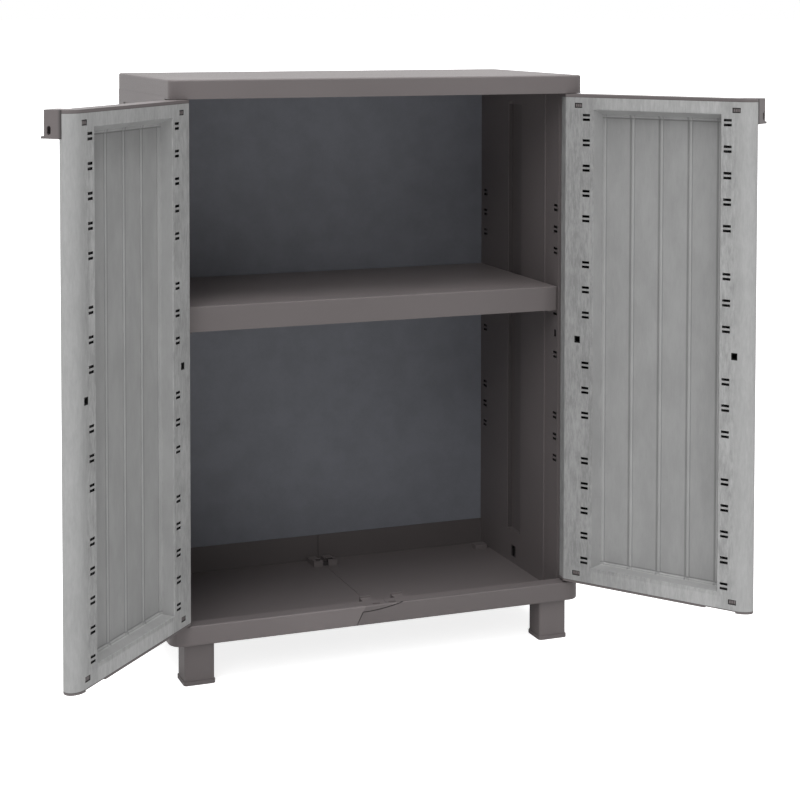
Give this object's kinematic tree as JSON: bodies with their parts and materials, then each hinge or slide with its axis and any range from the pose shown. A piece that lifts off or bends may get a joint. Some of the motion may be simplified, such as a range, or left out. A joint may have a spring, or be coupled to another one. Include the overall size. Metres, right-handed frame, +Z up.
{
  "type": "garden storage cabinet",
  "caption": "Free-standing moulded plastic garden cabinet with hinged double doors, an inner shelf, a snap-together base on short feet, and padlock handles.",
  "frame": {"origin": "on the ground at the middle of the cabinet's width and depth, between the four feet", "axes": "+X to the right seen from the front, +Y to the back, +Z up"},
  "size_m": [1.1011, 0.6072, 0.914],
  "materials": {
    "taupe_plastic": "fine satin texture",
    "back_sheet": "matte, faintly mottled",
    "door_grey": "matte with a wood grain"
  },
  "bodies": {
    "cabinet": {"top_panel": "taupe_plastic", "base_left": "taupe_plastic", "base_right": "taupe_plastic", "base_joint_clip": "taupe_plastic", "side_panel_left": "taupe_plastic", "side_panel_right": "taupe_plastic", "shelf": "taupe_plastic", "shelf_supports": "taupe_plastic", "foot_front_left": "taupe_plastic", "foot_front_right": "taupe_plastic", "foot_rear_left": "taupe_plastic", "foot_rear_right": "taupe_plastic", "back_panel": "back_sheet"},
    "left_door": {"left_door_panel": "door_grey", "left_door_top_cap": "taupe_plastic", "left_door_bottom_cap": "taupe_plastic", "left_door_handle": "taupe_plastic"},
    "right_door": {"right_door_panel": "door_grey", "right_door_top_cap": "taupe_plastic", "right_door_bottom_cap": "taupe_plastic", "right_door_handle": "taupe_plastic"}
  },
  "joints": [
    {"name": "right_door_hinge", "type": "hinge", "parent": "cabinet", "child": "right_door", "pos_m": [0.3248, -0.1629, 0], "axis": [0, 0, 1], "range_deg": [-125.1, 54.9]},
    {"name": "left_door_hinge", "type": "hinge", "parent": "cabinet", "child": "left_door", "pos_m": [-0.3248, -0.1629, 0], "axis": [0, 0, -1], "range_deg": [-132.9, 47.1]}
  ]
}
